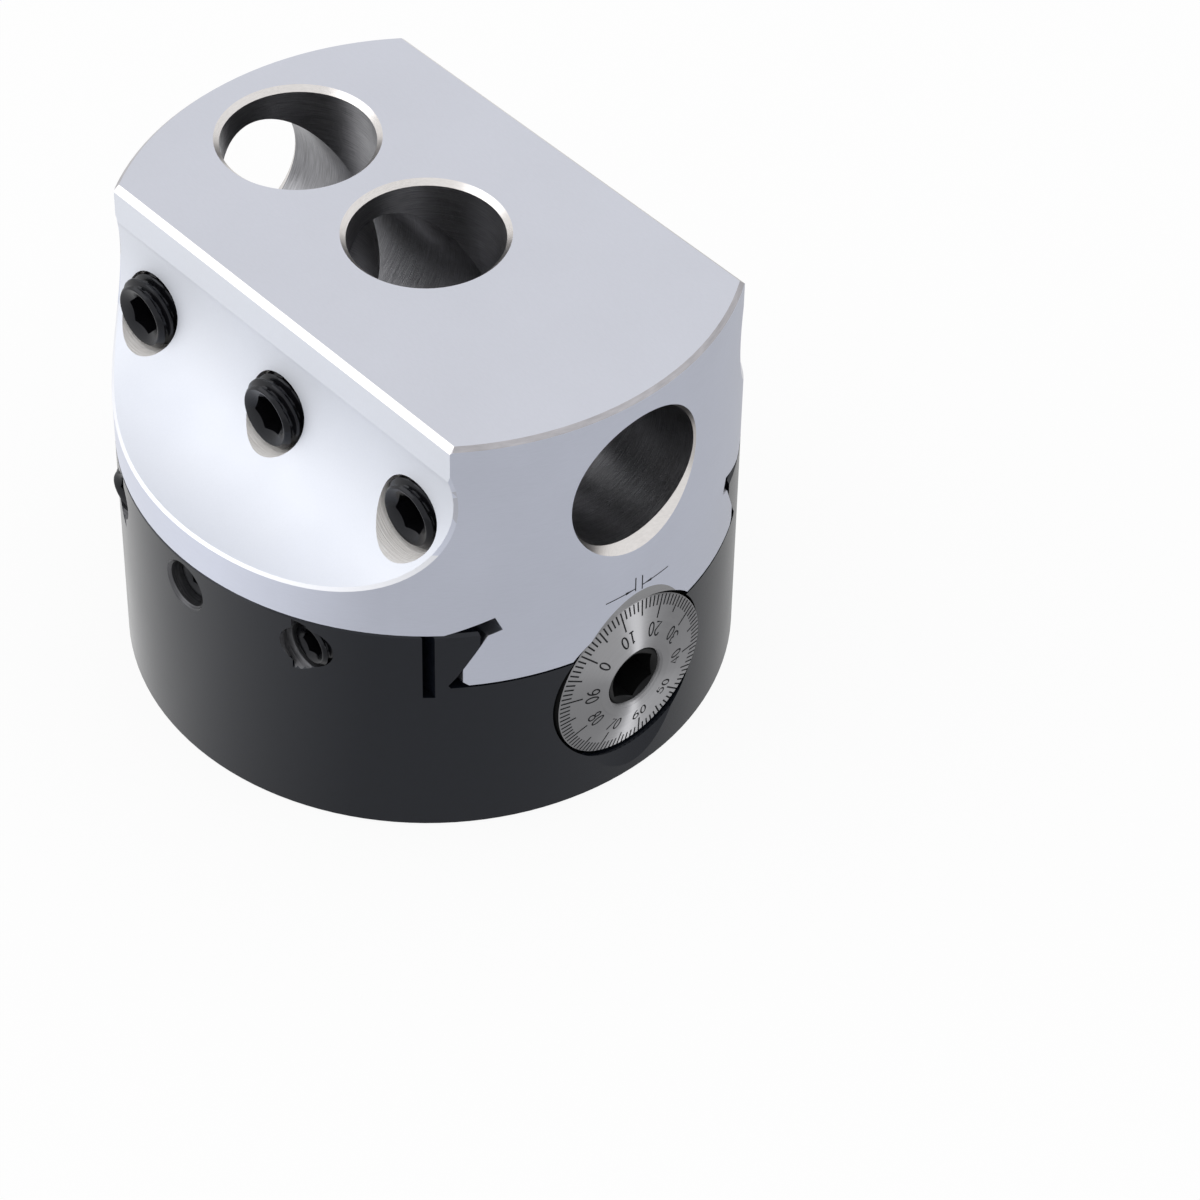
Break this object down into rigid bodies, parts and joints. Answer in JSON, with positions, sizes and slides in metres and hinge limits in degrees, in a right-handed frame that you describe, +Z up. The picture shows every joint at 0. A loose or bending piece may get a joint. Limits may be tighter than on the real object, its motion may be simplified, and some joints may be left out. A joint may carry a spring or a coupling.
{
  "type": "boring head",
  "caption": "Round boring head: a graduated lead screw offsets a dovetail slide that holds round boring bars upright or crosswise, clamped by socket set screws.",
  "frame": {"origin": "centre of the mounting face at the bottom of the body, on the axis of the shank thread", "axes": "+Z up along the spindle axis to the tool face, +X to the dial along the slide's travel, -Y to the side with the set screws"},
  "size_m": [0.1017, 0.1016, 0.0816],
  "materials": {
    "body_black": "black oxide on turned steel, glossy",
    "slide_steel": "fine ground and satin plated steel",
    "dial_steel": "turned satin steel with black filled graduations",
    "screw_black": "black oxide, slightly oiled",
    "inner_steel": "turned bare steel",
    "bronze": "turned bearing bronze",
    "brass": "turned brass"
  },
  "bodies": {
    "body": {"head_body": "body_black", "front_bush": "bronze", "rear_bush": "bronze", "thrust_washer": "bronze"},
    "slide": {"tool_slide": "slide_steel", "feed_nut": "bronze", "nut_screws": "screw_black", "nut_dowels": "inner_steel"},
    "dial": {"lead_screw": "screw_black", "dial_ring": "dial_steel", "dial_grub_screw": "screw_black", "thrust_collar": "inner_steel", "collar_pin": "inner_steel"},
    "bar_clamp_far": {"bar_screw_far": "screw_black"},
    "bar_clamp_centre": {"bar_screw_centre": "screw_black"},
    "bar_clamp_near": {"bar_screw_near": "screw_black"},
    "gib_adjuster_far": {"gib_screw_far": "screw_black"},
    "gib_lock": {"gib_lock_screw": "screw_black", "lock_pad": "brass"},
    "gib_adjuster_near": {"gib_screw_near": "screw_black"}
  },
  "joints": [
    {"name": "dial_turn", "type": "hinge", "parent": "body", "child": "dial", "pos_m": [0.0493, 0, 0.02126], "axis": [1, 0, 0], "range_deg": [0, 10800]},
    {"name": "slide_travel", "type": "slide", "parent": "body", "child": "slide", "axis": [-1, 0, 0], "range_m": [0, 0.0381]},
    {"name": "bar_clamp_far_feed", "type": "slide", "parent": "slide", "child": "bar_clamp_far", "axis": [0, 1, 0], "range_m": [-0.004, 0.0047]},
    {"name": "bar_clamp_centre_feed", "type": "slide", "parent": "slide", "child": "bar_clamp_centre", "axis": [0, 1, 0], "range_m": [-0.004, 0.0047]},
    {"name": "bar_clamp_near_feed", "type": "slide", "parent": "slide", "child": "bar_clamp_near", "axis": [0, 1, 0], "range_m": [-0.004, 0.0027]},
    {"name": "gib_adjuster_far_feed", "type": "slide", "parent": "body", "child": "gib_adjuster_far", "axis": [0, 1, 0], "range_m": [-0.004, 0]},
    {"name": "gib_lock_feed", "type": "slide", "parent": "body", "child": "gib_lock", "axis": [0, 1, 0], "range_m": [-0.004, 0]},
    {"name": "gib_adjuster_near_feed", "type": "slide", "parent": "body", "child": "gib_adjuster_near", "axis": [0, 1, 0], "range_m": [-0.004, 0]}
  ],
  "couplings": [
    {"joint": "dial_turn", "follows": "slide_travel", "rad_per_m": 4947.4}
  ]
}
